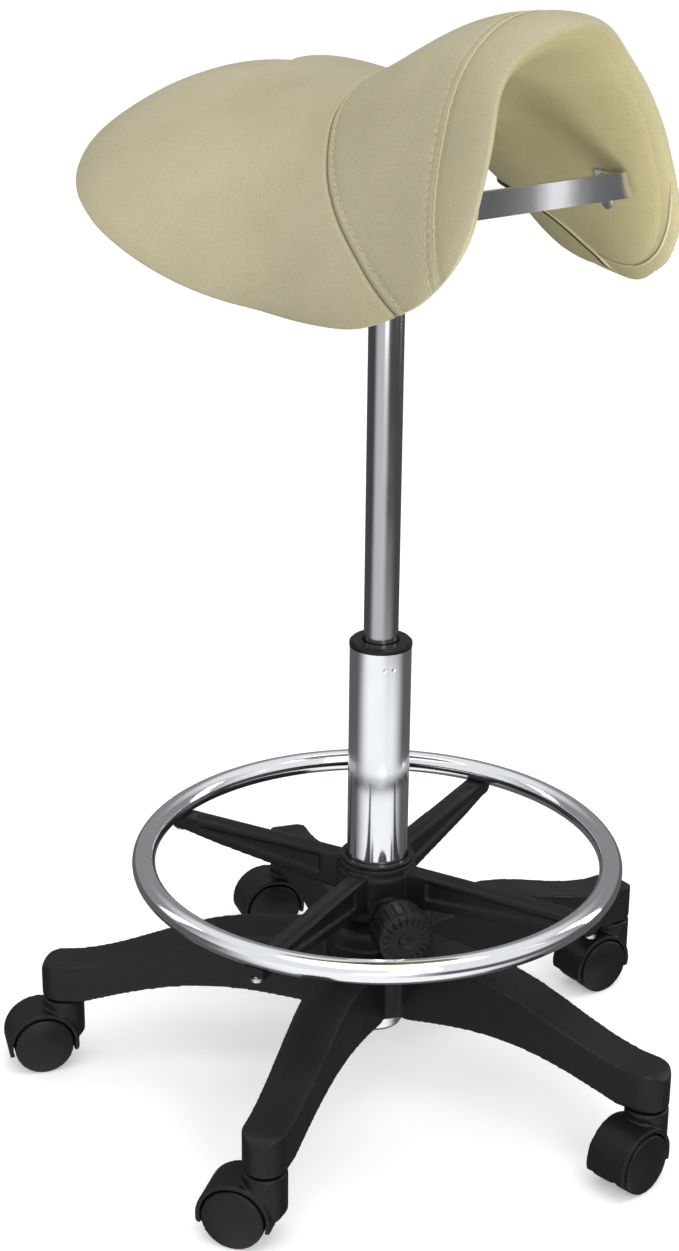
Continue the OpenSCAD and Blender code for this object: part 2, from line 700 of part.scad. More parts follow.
module bar_screws() {
    color([0.8, 0.8, 0.82]) at_bar_screws() difference() {
        union() {
            along_x(-ear_t - 1, 9, 2.2);
            along_x(-ear_t - 2.4, -ear_t, 4.2);
        }
        translate([-ear_t - 3.4, -2.5, -0.5]) cube([2, 5, 1]);
        translate([-ear_t - 3.4, -0.5, -2.5]) cube([2, 1, 5]);
    }
}

module lever_pin() {
    color([0.7, 0.7, 0.72]) at_lever() along_y(-channel_y - 1, channel_y + 1, 2.5);
}

lever_length = 104;
lever_droop = 8;
grip_start = 70;

module at_lever() {
    rotate([0, 0, lever_turn]) translate([lever_pivot, 0, lever_z]) children();
}

module height_lever() {
    color([0.75, 0.76, 0.78]) at_lever() difference() {
        union() {
            rotate([0, -90 - lever_droop, 0]) cylinder(r = 4, h = lever_length);
            along_y(-7, 7, 5.5);
            translate([0, -4, -1.2]) cube([-lever_pivot, 8, 4]);
            translate([-lever_pivot, 0, -1.2]) along_y(-4, 4, 2.8);
        }
        along_y(-10, 10, 2.5 + fit);
    }
}

module lever_grip() {
    color([0.06, 0.06, 0.065]) at_lever() rotate([0, -90 - lever_droop, 0]) translate([0, 0, grip_start])
        difference() {
            rotate_extrude() polygon([[0, 0], [5.6, 0], [6.6, 3], [5.8, 14], [6.8, 28], [6.2, 34], [3, 37], [0, 37.5]]);
            translate([0, 0, -1]) cylinder(r = 4.02, h = lever_length - grip_start + 1.1);
        }
}

// ---------- assembly ----------

star_base();
caster_stems();
outer_tube();
tube_end_plate();
guide_bush();
piston_rod();
piston();
thrust_bearing();
rubber_bumper();
rod_retainer();
ring_sleeve();
ring_spider();
foot_ring();
ring_screws();
clamp_pad();
clamp_knob();
clamp_stud();
gas_cylinder();
rod_seal();
release_pin();
seat_plate();
plate_bolts();
tee_nuts();
mounting_board();
seat_shell();
saddle_cushion();
underside_liner();
front_bar();
bar_screws();
lever_pin();
height_lever();
lever_grip();
for (k = [1:5]) {
    color([0.06, 0.06, 0.065]) at_caster(k) caster_body();
    color([0.7, 0.7, 0.72]) at_caster(k) caster_axle();
    color([0.07, 0.07, 0.075]) at_caster(k) wheel(1);
    color([0.07, 0.07, 0.075]) at_caster(k) wheel(-1);
}
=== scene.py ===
"""Looks of the height-adjustable saddle stool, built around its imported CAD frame.

Blender works in metres. The saddle's own curves are in millimetres, as on a drawing, and MM turns
them into metres. Coordinates across and along lie on the seat as if it were pressed flat.
"""

import json
import math
from collections import namedtuple

import bpy
import numpy as np
from mathutils import Matrix, Vector
from mathutils.bvhtree import BVHTree


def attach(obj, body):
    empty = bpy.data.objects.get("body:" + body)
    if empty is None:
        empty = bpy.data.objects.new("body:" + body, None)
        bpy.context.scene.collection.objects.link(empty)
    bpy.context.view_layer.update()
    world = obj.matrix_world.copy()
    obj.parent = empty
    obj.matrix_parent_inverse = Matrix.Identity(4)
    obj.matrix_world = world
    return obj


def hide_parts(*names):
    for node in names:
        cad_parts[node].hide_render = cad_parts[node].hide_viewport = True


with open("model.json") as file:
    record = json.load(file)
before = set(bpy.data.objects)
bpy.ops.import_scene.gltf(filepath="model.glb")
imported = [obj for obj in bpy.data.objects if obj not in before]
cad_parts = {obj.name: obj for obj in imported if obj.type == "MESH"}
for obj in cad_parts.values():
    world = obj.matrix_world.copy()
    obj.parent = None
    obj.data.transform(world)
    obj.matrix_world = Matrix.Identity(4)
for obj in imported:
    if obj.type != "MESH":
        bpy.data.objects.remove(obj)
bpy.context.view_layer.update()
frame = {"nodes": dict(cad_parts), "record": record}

MM = 0.001
nodes = frame["nodes"]
slot_of = {part["node"]: part["material_slot"] for part in frame["record"]["subparts"]}
body_of = {node: body for body, members in frame["record"]["behaviour"]["bodies"].items()
           for node in members}


# ---------- camera, floor and light ----------

CAMERA_AT = (-1.0812, -1.3299, 1.0648)
CAMERA_HEADING = -38.0
CAMERA_PITCH = 68.89
CAMERA_ROLL = 0.63
CAMERA_LENS = 66.26


def turn(degrees, axis):
    return Matrix.Rotation(math.radians(degrees), 4, axis)


def place_camera():
    data = bpy.data.cameras.new("camera")
    data.sensor_fit = "AUTO"
    data.sensor_width = 36.0
    data.lens = CAMERA_LENS
    data.clip_end = 60.0
    camera = bpy.data.objects.new("camera", data)
    bpy.context.scene.collection.objects.link(camera)
    aim = turn(CAMERA_HEADING, "Z") @ turn(CAMERA_PITCH, "X") @ turn(CAMERA_ROLL, "Z")
    camera.matrix_world = Matrix.Translation(CAMERA_AT) @ aim
    bpy.context.scene.camera = camera


def softbox(name, at, size, power, target=(0.0, 0.0, 0.45), mirrored=True):
    """A rectangular light aimed at the target. Chrome shows it only where mirrored is true."""
    data = bpy.data.lights.new(name, "AREA")
    data.shape = "RECTANGLE"
    data.size, data.size_y = size
    data.energy = power
    light = bpy.data.objects.new(name, data)
    bpy.context.scene.collection.objects.link(light)
    light.location = at
    light.rotation_euler = (Vector(target) - Vector(at)).to_track_quat("-Z", "Y").to_euler()
    light.visible_glossy = mirrored


def sun(name, strength, spread, lean, heading):
    """Even light over the whole floor, softened by its spread in degrees."""
    data = bpy.data.lights.new(name, "SUN")
    data.energy = strength
    data.angle = math.radians(spread)
    light = bpy.data.objects.new(name, data)
    bpy.context.scene.collection.objects.link(light)
    light.rotation_euler = (math.radians(lean), 0.0, math.radians(heading))


def light_studio():
    sun("daylight", 0.54, 50.0, 22.0, -50.0)
    softbox("overhead", (0.0, -0.6, 2.9), (1.8, 1.8), 18)
    softbox("front", (-1.0, -2.85, 1.7), (0.9, 1.9), 20)
    softbox("low_front", (-1.3, -1.9, 0.35), (0.9, 0.5), 5, target=(0.05, -0.1, 0.78))
    softbox("under_seat", (-0.02, -0.5, 0.5), (0.25, 0.2), 1.7, target=(0.16, -0.12, 0.76),
            mirrored=False)
    softbox("edge_right", (2.2, -0.9, 1.0), (0.5, 1.8), 11)
    softbox("edge_left", (-1.6, 2.0, 1.4), (0.6, 1.6), 6)
    softbox("bar_glint", (0.41, -0.61, 0.66), (0.02, 0.35), 0.035, target=(0.02, -0.178, 0.77))
    light_room()
    bpy.context.scene.view_settings.view_transform = "Standard"


def light_room():
    """White room, dimmer from below. Chrome mirrors a bright front with dark sides in it."""
    world = bpy.data.worlds.new("studio")
    world.use_nodes = True
    tree = world.node_tree
    where = tree.nodes.new("ShaderNodeTexCoord")
    split = tree.nodes.new("ShaderNodeSeparateXYZ")
    tree.links.new(where.outputs["Generated"], split.inputs["Vector"])
    height = split.outputs["Z"]
    # An upright tube mirrors what lies below the horizon: a narrow bright patch to the left, and lower
    # down a wide one in front.
    front = facing(tree, split, (-0.59, -0.807))
    side = facing(tree, split, (-0.875, -0.484))
    wide = ease(tree, front, -0.17, 0.82)
    narrow = ease(tree, side, 0.57, 0.95)
    lobe = blend(tree, ease(tree, height, -0.34, -0.39), narrow, wide)
    low = remap(tree, lobe, 0.0, 1.0, 0.13, 1.2)
    high = blend(tree, ease(tree, height, 0.5, 0.8), ease(tree, front, -0.2, 0.4, 0.3, 1.0), 1.0)
    mirrored = background(tree, blend(tree, ease(tree, height, -0.06, 0.06), low, high))
    room = background(tree, ease(tree, height, -0.5, 0.5, 0.5, 0.62))
    ray = tree.nodes.new("ShaderNodeLightPath")
    lit = choose(tree, ray.outputs["Is Glossy Ray"], room, mirrored)
    seen = choose(tree, ray.outputs["Is Camera Ray"], lit, background(tree, 1.0))
    tree.links.new(seen, tree.nodes["World Output"].inputs["Surface"])
    bpy.context.scene.world = world


def facing(tree, split, heading):
    """How nearly a direction's plan view faces the heading: 1 straight at it, -1 away from it."""
    x, y = split.outputs["X"], split.outputs["Y"]
    along = math_node(tree, "ADD", math_node(tree, "MULTIPLY", x, heading[0]),
                      math_node(tree, "MULTIPLY", y, heading[1]))
    square = math_node(tree, "ADD", math_node(tree, "MULTIPLY", x, x),
                       math_node(tree, "MULTIPLY", y, y))
    length = math_node(tree, "SQRT", math_node(tree, "ADD", square, 1e-6), 0.0)
    return math_node(tree, "DIVIDE", along, length)


def background(tree, strength):
    node = tree.nodes.new("ShaderNodeBackground")
    node.inputs["Color"].default_value = (0.97, 0.98, 1.0, 1.0)
    if isinstance(strength, float):
        node.inputs["Strength"].default_value = strength
    else:
        tree.links.new(strength, node.inputs["Strength"])
    return node.outputs["Background"]


def choose(tree, share, first, second):
    node = tree.nodes.new("ShaderNodeMixShader")
    tree.links.new(share, node.inputs["Fac"])
    tree.links.new(first, node.inputs[1])
    tree.links.new(second, node.inputs[2])
    return node.outputs["Shader"]


def lay_floor():
    radius, sides = 14.0, 96
    angles = [2 * math.pi * k / sides for k in range(sides)]
    points = [(radius * math.cos(angle), radius * math.sin(angle), 0.0) for angle in angles]
    mesh = bpy.data.meshes.new("floor")
    mesh.from_pydata(points, [], [list(range(sides))])
    floor = bpy.data.objects.new("floor", mesh)
    bpy.context.scene.collection.objects.link(floor)
    mesh.materials.append(new_material("floor_paper", (0.93, 0.93, 0.93), 0.8, emission_strength=0.3)[0])
    floor.visible_glossy = False
    floor.visible_diffuse = False


# ---------- material building ----------

def linear(red, green, blue):
    """A colour given as it looks on screen, 0 to 255, as scene-linear values."""
    def one(value):
        share = value / 255
        return share / 12.92 if share <= 0.04045 else ((share + 0.055) / 1.055) ** 2.4
    return one(red), one(green), one(blue)


def new_material(name, color, roughness, metallic=0.0, specular=0.5, **more):
    """A new material, its tree and its Principled shader, whose even values are set on the shader."""
    material = bpy.data.materials.new(name)
    material.use_nodes = True
    surface = material.node_tree.nodes["Principled BSDF"]
    surface.inputs["Base Color"].default_value = (*color, 1.0)
    surface.inputs["Roughness"].default_value = roughness
    surface.inputs["Metallic"].default_value = metallic
    surface.inputs["Specular IOR Level"].default_value = specular
    for socket, value in more.items():
        surface.inputs[socket.replace("_", " ").title()].default_value = value
    return material, material.node_tree, surface


def coordinates(tree, stretch=(1.0, 1.0, 1.0)):
    """Places on the object in metres, squeezed by stretch along X, Y and Z."""
    where = tree.nodes.new("ShaderNodeTexCoord")
    mapping = tree.nodes.new("ShaderNodeMapping")
    mapping.inputs["Scale"].default_value = stretch
    tree.links.new(where.outputs["Object"], mapping.inputs["Vector"])
    return mapping.outputs["Vector"]


def noise(tree, size, stretch=(1.0, 1.0, 1.0), detail=3.0, roughness=0.55):
    """Cloudy values about 0.5, with blotches of that size in metres."""
    texture = tree.nodes.new("ShaderNodeTexNoise")
    texture.inputs["Scale"].default_value = 1 / size
    texture.inputs["Detail"].default_value = detail
    texture.inputs["Roughness"].default_value = roughness
    tree.links.new(coordinates(tree, stretch), texture.inputs["Vector"])
    return texture.outputs["Fac"]


def cells(tree, size):
    """Pebbles of that size in metres: their height from the creases between them."""
    texture = tree.nodes.new("ShaderNodeTexVoronoi")
    texture.feature = "DISTANCE_TO_EDGE"
    texture.inputs["Scale"].default_value = 1 / size
    tree.links.new(coordinates(tree), texture.inputs["Vector"])
    return texture.outputs["Distance"]


def remap(tree, value, low, high, to_low, to_high):
    node = tree.nodes.new("ShaderNodeMapRange")
    node.inputs["From Min"].default_value = low
    node.inputs["From Max"].default_value = high
    node.inputs["To Min"].default_value = to_low
    node.inputs["To Max"].default_value = to_high
    tree.links.new(value, node.inputs["Value"])
    return node.outputs["Result"]


def ease(tree, value, low, high, to_low=0.0, to_high=1.0):
    """Like remap, with a gentle start and end. low may be above high."""
    node = tree.nodes.new("ShaderNodeMapRange")
    node.interpolation_type = "SMOOTHSTEP"
    node.inputs["From Min"].default_value = low
    node.inputs["From Max"].default_value = high
    node.inputs["To Min"].default_value = to_low
    node.inputs["To Max"].default_value = to_high
    tree.links.new(value, node.inputs["Value"])
    return node.outputs["Result"]


def blend(tree, share, first, second):
    """first where share is 0 and second where it is 1. Each is a number or a node's output."""
    node = tree.nodes.new("ShaderNodeMapRange")
    tree.links.new(share, node.inputs["Value"])
    for socket, value in ((node.inputs["To Min"], first), (node.inputs["To Max"], second)):
        if isinstance(value, float):
            socket.default_value = value
        else:
            tree.links.new(value, socket)
    return node.outputs["Result"]


def math_node(tree, operation, first, second):
    node = tree.nodes.new("ShaderNodeMath")
    node.operation = operation
    for socket, value in zip(node.inputs, (first, second)):
        if isinstance(value, (int, float)):
            socket.default_value = value
        else:
            tree.links.new(value, socket)
    return node.outputs["Value"]


def mix_colors(tree, share, first, second):
    """first where share is 0 and second where it is 1. Each is a colour or a node's output."""
    node = tree.nodes.new("ShaderNodeMix")
    node.data_type = "RGBA"
    tree.links.new(share, node.inputs["Factor"])
    inputs = [s for s in node.inputs if s.type == "RGBA"]
    for socket, value in zip(inputs, (first, second)):
        if isinstance(value, tuple):
            socket.default_value = (*value, 1.0)
        else:
            tree.links.new(value, socket)
    return next(s for s in node.outputs if s.type == "RGBA")


def bump(tree, surface, height, depth, strength=1.0, below=None):
    """Relief of that depth in metres where height goes from 0 to 1."""
    node = tree.nodes.new("ShaderNodeBump")
    node.inputs["Strength"].default_value = strength
    node.inputs["Distance"].default_value = depth
    tree.links.new(height, node.inputs["Height"])
    if below is not None:
        tree.links.new(below, node.inputs["Normal"])
    tree.links.new(node.outputs["Normal"], surface.inputs["Normal"])
    return node.outputs["Normal"]


def vary(tree, surface, socket, value, low, high, spread=(0.3, 0.7)):
    tree.links.new(remap(tree, value, *spread, low, high), surface.inputs[socket])


# ---------- materials ----------

def moulded(name, color, pale, roughness, grain, depth):
    """Spark-textured moulding: fine speckle, and soft blotches where its gloss changes."""
    material, tree, surface = new_material(name, color, roughness[0], specular=0.22)
    speckle = noise(tree, grain, detail=2.0)
    blotch = noise(tree, 40 * MM)
    share = remap(tree, speckle, 0.45, 0.72, 0.0, 1.0)
    tree.links.new(mix_colors(tree, share, color, pale), surface.inputs["Base Color"])
    vary(tree, surface, "Roughness", blotch, *roughness)
    bump(tree, surface, speckle, depth)
    return material


def polished(name, color, roughness):
    """Chrome plate with faint handling smears and hairline scratches."""
    material, tree, surface = new_material(name, color, roughness[0], metallic=1.0)
    smear = noise(tree, 55 * MM, stretch=(1.0, 1.0, 0.4))
    vary(tree, surface, "Roughness", smear, *roughness)
    tint = noise(tree, 25 * MM)
    darker = tuple(0.93 * c for c in color)
    tree.links.new(mix_colors(tree, tint, color, darker), surface.inputs["Base Color"])
    scratch = noise(tree, 0.9 * MM, stretch=(0.6, 0.6, 0.05), detail=1.0)
    bump(tree, surface, scratch, 0.004 * MM, 0.5)
    return material


def ground(name, color, roughness, stretch):
    """Ground or turned steel, with fine lines along the direction that stretch keeps long."""
    material, tree, surface = new_material(name, color, roughness[0], metallic=1.0)
    lines = noise(tree, 1.2 * MM, stretch=stretch, detail=4.0)
    blotch = noise(tree, 30 * MM)
    vary(tree, surface, "Roughness", blotch, *roughness)
    darker = tuple(0.88 * c for c in color)
    tree.links.new(mix_colors(tree, lines, darker, color), surface.inputs["Base Color"])
    bump(tree, surface, lines, 0.006 * MM, 0.5)
    return material


def plated(name, color, dull, roughness):
    """Zinc plate, brass or black oxide: cloudy crystals and a light grain."""
    material, tree, surface = new_material(name, color, roughness[0], metallic=1.0)
    cloud = noise(tree, 4 * MM)
    vary(tree, surface, "Roughness", cloud, *roughness)
    tree.links.new(mix_colors(tree, cloud, dull, color), surface.inputs["Base Color"])
    bump(tree, surface, noise(tree, 0.5 * MM, detail=2.0), 0.02 * MM, 0.6)
    return material


def painted():
    """Black powder coat with its orange-peel texture."""
    material, tree, surface = new_material("powder_coat", (0.02, 0.02, 0.021), 0.42)
    peel = noise(tree, 1.1 * MM, detail=2.0)
    vary(tree, surface, "Roughness", noise(tree, 20 * MM), 0.36, 0.5)
    share = remap(tree, peel, 0.5, 0.8, 0.0, 1.0)
    tree.links.new(mix_colors(tree, share, (0.018, 0.018, 0.019), (0.035, 0.035, 0.037)),
                   surface.inputs["Base Color"])
    bump(tree, surface, peel, 0.08 * MM)
    return material


def plywood():
    """Bare birch ply: long grain along Y, with glued layers on its edges."""
    material, tree, surface = new_material("birch_ply", (0.62, 0.46, 0.28), 0.62)
    grain = noise(tree, 6 * MM, stretch=(1.0, 0.08, 0.2), detail=5.0)
    layers = noise(tree, 3 * MM, stretch=(0.02, 0.02, 1.0), detail=1.0)
    shade = mix_colors(tree, remap(tree, grain, 0.35, 0.68, 0.0, 1.0),
                       linear(214, 180, 132), linear(166, 124, 78))
    share = remap(tree, layers, 0.5, 0.62, 0.0, 0.5)
    tree.links.new(mix_colors(tree, share, shade, linear(120, 82, 50)), surface.inputs["Base Color"])
    vary(tree, surface, "Roughness", grain, 0.5, 0.72)
    bump(tree, surface, grain, 0.15 * MM)
    return material


LEATHER = linear(184, 176, 146)
LEATHER_DEEP = linear(177, 169, 137)
# Painted shade: a darker, more olive copy of the leather for the cover's underside and the lining, which
# lie in shade.
LEATHER_UNDER_SHADED = linear(178, 169, 129)
# Painted shade for creases: a dark colour that stands for the shade in seam grooves and between pebbles.
LEATHER_CREASE_SHADE = linear(92, 84, 52)


def attribute(tree, name):
    node = tree.nodes.new("ShaderNodeAttribute")
    node.attribute_name = name
    return node.outputs["Fac"]


def seam_line(tree, bend, start, width):
    """1 on the seam along = start - bend * across**2, falling to 0 at width from it, all in metres."""
    across, along = attribute(tree, "across"), attribute(tree, "along")
    square = math_node(tree, "MULTIPLY", across, across)
    line = math_node(tree, "MULTIPLY", square, bend)
    away = math_node(tree, "ADD", math_node(tree, "ADD", along, line), -start)
    slope = math_node(tree, "MULTIPLY", square, 4 * bend * bend)
    scale = math_node(tree, "SQRT", math_node(tree, "ADD", slope, 1.0), 0.0)
    distance = math_node(tree, "ABSOLUTE", math_node(tree, "DIVIDE", away, scale), 0.0)
    return remap(tree, distance, 0.25 * width, width, 1.0, 0.0)


def leather(name, color, deep, cover=False):
    """Smooth synthetic leather: pebbled grain, soft random tone changes, painted shade in the creases
    between pebbles, and on the cover painted shade in the groove of seam A and on the underside.
    """
    material, tree, surface = new_material(name, color, 0.46, specular=0.4)
    cloud = noise(tree, 70 * MM, detail=4.0)
    fine = noise(tree, 3 * MM, detail=3.0)
    tint = mix_colors(tree, remap(tree, cloud, 0.35, 0.65, 0.0, 1.0), color, deep)
    pebble = cells(tree, 1.5 * MM)
    if cover:
        # Painted shade: the cover's underside takes the shaded copy of the leather.
        under = attribute(tree, "under")
        tint = mix_colors(tree, under, tint, LEATHER_UNDER_SHADED)
        # Painted shade in the groove of seam A, faded out on the underside.
        groove_shade = seam_line(tree, SEAM_A.bend / MM, SEAM_A.start * MM, 1.1 * MM)
        share = math_node(tree, "MULTIPLY", groove_shade, remap(tree, under, 0.0, 1.0, 0.8, 0.0))
        tint = mix_colors(tree, share, tint, LEATHER_CREASE_SHADE)
    # Painted shade in the creases between the pebbles.
    tint = mix_colors(tree, remap(tree, pebble, 0.0, 0.09, 0.3, 0.0), tint, LEATHER_CREASE_SHADE)
    tree.links.new(tint, surface.inputs["Base Color"])
    vary(tree, surface, "Roughness", fine, 0.4, 0.53)
    low = bump(tree, surface, fine, 0.12 * MM, 0.6)
    bump(tree, surface, remap(tree, pebble, 0.0, 0.16, 0.0, 1.0), 0.07 * MM, 0.8, below=low)
    return material


def thread_material():
    """Twisted polyester thread, a shade paler than the leather."""
    material, tree, surface = new_material("thread", linear(205, 198, 170), 0.6)
    twist = tree.nodes.new("ShaderNodeTexWave")
    twist.inputs["Scale"].default_value = 900.0
    tree.links.new(coordinates(tree), twist.inputs["Vector"])
    tree.links.new(mix_colors(tree, twist.outputs["Fac"], linear(178, 170, 140), linear(214, 208, 182)),
                   surface.inputs["Base Color"])
    bump(tree, surface, twist.outputs["Fac"], 0.08 * MM)
    return material


# ---------- saddle shape ----------
# The same curves as the CAD cushion. Stations run along the seat from front to back.

STATIONS = (-200, -115, -30, 60, 165)
RIDGE = (890, 868, 828, 817, 835)
ARCH_RADIUS = (75, 66, 108, 213, 216)
FLAP_SLOPE = (72, 61, 49, 26, 27)
OUTLINE_AT = (-90, -68, -55, -42, -28, -8, 20, 45, 68, 90)
OUTLINE = (190, 190, 230, 272, 268, 225, 247, 245, 181, 146)
SEAT_MIDDLE = -15.0
PAD_FRONT, PAD_REAR = 24.0, 20.0
RIM_POWER = 2.6
LOWER_PAD = 0.95
RECESS = 4.0
RECESS_EDGE = 0.85

# A seam lies at along = start - bend * across**2, with its stitches beside it. Its groove and the hollow
# round it have a depth and a width, and the roll beside it a height, a place and a width.
Seam = namedtuple("Seam", "start bend stitches groove hollow roll seed")
SEAM_A = Seam(-23.8, 0.0026, -6.0, (1.2, 1.5), (1.1, 11), (0.55, -3.2, 2.2), 1.0)
SEAM_B = Seam(-155.9, 0.0008, 7.0, (0.9, 2.4), (0.8, 9), (0.4, 3.6, 2.2), 2.0)
STITCH_PITCH = 6.4
STITCH_SINK, STITCH_SINK_WIDTH = 0.5, 1.6
PUCKER, PUCKER_WIDTH = 0.35, 4.5


def curve(x, xs, ys):
    """Smooth curve through the points (xs, ys)."""
    xs, ys = np.asarray(xs, float), np.asarray(ys, float)
    step = np.diff(xs)
    rise = np.diff(ys) / step
    inner = (rise[1:] * step[:-1] + rise[:-1] * step[1:]) / (step[:-1] + step[1:])
    slope = np.concatenate([rise[:1], inner, rise[-1:]])
    i = np.clip(np.searchsorted(xs, x, side="right") - 1, 0, len(xs) - 2)
    h, t = step[i], (x - xs[i]) / step[i]
    return ((2 * t**3 - 3 * t**2 + 1) * ys[i] + (t**3 - 2 * t**2 + t) * h * slope[i]
            + (3 * t**2 - 2 * t**3) * ys[i + 1] + (t**3 - t**2) * h * slope[i + 1])


def layer(across, along):
    """The padding's middle layer: an arch over the centre line with straight flaps beyond it."""
    radius = curve(along, STATIONS, ARCH_RADIUS)
    angle = np.minimum(np.abs(across) / radius, np.radians(curve(along, STATIONS, FLAP_SLOPE)))
    flat = np.abs(across) - radius * angle
    x = np.sign(across) * (radius * np.sin(angle) + flat * np.cos(angle))
    z = curve(along, STATIONS, RIDGE) - radius * (1 - np.cos(angle)) - flat * np.sin(angle)
    return np.stack([x, along, z], -1)


def off_layer(across, along, depth):
    """Points at that depth above the middle layer, in millimetres."""
    normal = np.cross(layer(across + 1, along) - layer(across - 1, along),
                      layer(across, along + 1) - layer(across, along - 1))
    normal /= np.linalg.norm(normal, axis=-1, keepdims=True)
    return layer(across, along) + np.asarray(depth)[..., None] * normal


def outline(direction):
    return curve(np.degrees(np.arcsin(np.sin(direction))), OUTLINE_AT, OUTLINE)


def pad(along):
    return PAD_FRONT + (PAD_REAR - PAD_FRONT) * np.clip((along + 200) / 260, 0, 1)


def flat_place(direction, rho):
    """Flat coordinates at the fraction rho of the way to the rim."""
    reach = outline(direction) * rho
    return reach * np.cos(direction), SEAT_MIDDLE + reach * np.sin(direction)


def rim_fraction(across, along):
    direction = np.arctan2(along - SEAT_MIDDLE, across)
    return np.hypot(across, along - SEAT_MIDDLE) / outline(direction)


def cover_depth(across, along, side):
    """Depth of the cover over the middle layer: side 1 is the top and side -1 the underside."""
    crown = np.sqrt(np.clip(1 - np.clip(rim_fraction(across, along), 0, 1) ** RIM_POWER, 0, 1))
    return pad(along) * crown * np.where(side > 0, 1.0, -LOWER_PAD)


# ---------- saddle cover ----------

CORE = 60            # cells along one side of the middle patch
CORE_SHARE = 0.6     # how much of the seat the middle patch takes
CORE_SQUARE = 0.86   # size of the cells in the patch's middle against those at its border
CELL = 5.5           # spacing of the rings outside it
USUAL_REACH = 240    # distance from the seat's middle to the rim, for spacing the rings
USUAL_PAD = 22       # half thickness of the padding, for the same
RIM_LIFT = 0.35      # the rim zone starts where the cover has dropped to this share of the padding
RECESS_RINGS = (0.845, 0.6, 0.3)
TOP, RIM, INSIDE = 0.0, 1.0, 2.0
START_INSET = 1.6    # the cover starts this much smaller, and swells back
SWELL_LIMIT = 4.0
SEAM_HELD = 3.5      # half width of the strip along each seam that doesn't swell
PRESSURE = 4.0
UNDER_START, UNDER_RISE = 0.2, 3.5    # how the underside's shade comes in below the rim


def core_places():
    """Directions and fractions for a square patch of cells whose border is round."""
    line = np.linspace(-1, 1, CORE + 1)
    u, v = np.meshgrid(line, line, indexing="ij")
    size = np.maximum(np.abs(u), np.abs(v))
    sideways = np.abs(u) >= np.abs(v)
    angle = np.where(sideways, np.pi / 4 * v / np.where(sideways, np.where(u == 0, 1, u), 1),
                     np.pi / 2 - np.pi / 4 * u / np.where(sideways, 1, v))
    angle = np.where(sideways & (u < 0), angle + np.pi, angle)
    angle = np.where(~sideways & (v < 0), angle + np.pi, angle)
    share = (size ** 3)[..., None]
    round_ = size[..., None] * np.stack([np.cos(angle), np.sin(angle)], -1)
    place = (1 - share) * CORE_SQUARE * np.stack([u, v], -1) + share * round_
    x, y = place[..., 0], place[..., 1]
    return np.arctan2(y, x), CORE_SHARE * np.hypot(x, y)


def core_border():
    """Indices of the patch's border points, in order of direction from -45 degrees."""
    n = CORE + 1
    right = [CORE * n + j for j in range(CORE)]
    top = [i * n + CORE for i in range(CORE, 0, -1)]
    left = [j for j in range(CORE, 0, -1)]
    bottom = [i * n for i in range(CORE)]
    return right + top + left + bottom


def ring_profile():
    """Fraction and depth share of each ring from the middle patch over the rim to the recess."""
    start = math.asin(CORE_SHARE ** (RIM_POWER / 2))
    end = math.pi - math.asin(RECESS_EDGE ** (RIM_POWER / 2))
    angle = np.linspace(start, end, 2000)
    rho = np.sin(angle) ** (2 / RIM_POWER)
    lift = np.cos(angle)
    steps = np.hypot(USUAL_REACH * np.diff(rho), USUAL_PAD * np.diff(lift))
    length = np.concatenate([[0], np.cumsum(steps)])
    count = round(length[-1] / CELL)
    picked = np.interp(np.linspace(0, length[-1], count + 1)[1:], length, angle)
    return np.sin(picked) ** (2 / RIM_POWER), np.cos(picked)


def cover_mesh():
    """Closed cover: each point's flat coordinates, depth and zone, and the faces."""
    direction, rho = core_places()
    across, along = flat_place(direction.ravel(), rho.ravel())
    depth = cover_depth(across, along, 1)
    zones = [np.full(len(across), TOP)]
    spokes = np.radians(-45 + 90 / CORE * np.arange(4 * CORE))
    parts = [(across, along, depth)]
    rho_rings, lift_rings = ring_profile()
    for r, lift in zip(rho_rings, lift_rings):
        a, b = flat_place(spokes, r)
        parts.append((a, b, pad(b) * lift * (1 if lift > 0 else LOWER_PAD)))
        zones.append(np.full(len(a), RIM if lift < RIM_LIFT else TOP))
    for r in RECESS_RINGS:
        a, b = flat_place(spokes, r)
        parts.append((a, b, np.full(len(a), -RECESS)))
        zones.append(np.full(len(a), INSIDE))
    parts.append((np.zeros(1), np.full(1, SEAT_MIDDLE), np.full(1, -RECESS)))
    zones.append(np.full(1, INSIDE))
    across, along, depth = (np.concatenate(column) for column in zip(*parts))
    n = CORE + 1
    faces = [(i * n + j, (i + 1) * n + j, (i + 1) * n + j + 1, i * n + j + 1)
             for i in range(CORE) for j in range(CORE)]
    loops = [core_border()]
    spoke_count, rings = 4 * CORE, len(parts) - 2
    loops += [[n * n + r * spoke_count + k for k in range(spoke_count)] for r in range(rings)]
    for inner, outer in zip(loops, loops[1:]):
        faces += [(inner[k], outer[k], outer[(k + 1) % spoke_count], inner[(k + 1) % spoke_count])
                  for k in range(spoke_count)]
    middle = n * n + rings * spoke_count
    last = loops[-1]
    faces += [(last[k], middle, last[(k + 1) % spoke_count]) for k in range(spoke_count)]
    return across, along, depth, faces, np.concatenate(zones)


def seam_place(across, along, seam):
    """Signed distance behind a seam, and how far along it, in millimetres."""
    k = 2 * seam.bend
    away = (along - (seam.start - seam.bend * across**2)) / np.hypot(1, k * across)
    travel = 0.5 * (across * np.hypot(1, k * across) + np.arcsinh(k * across) / k)
    return away, travel


def bell(distance, width):
    return np.exp(-(distance / width) ** 2)


def ripple(travel, seed):
    """Uneven pucker between stitches, from 0 to 1."""
    wave = 0.5 + 0.5 * np.cos(2 * np.pi * travel / STITCH_PITCH)
    drift = 0.5 + 0.5 * np.sin(travel / 17.0 + seed) * np.sin(travel / 7.3 + 2 * seed)
    return wave * (0.45 + 0.55 * drift)


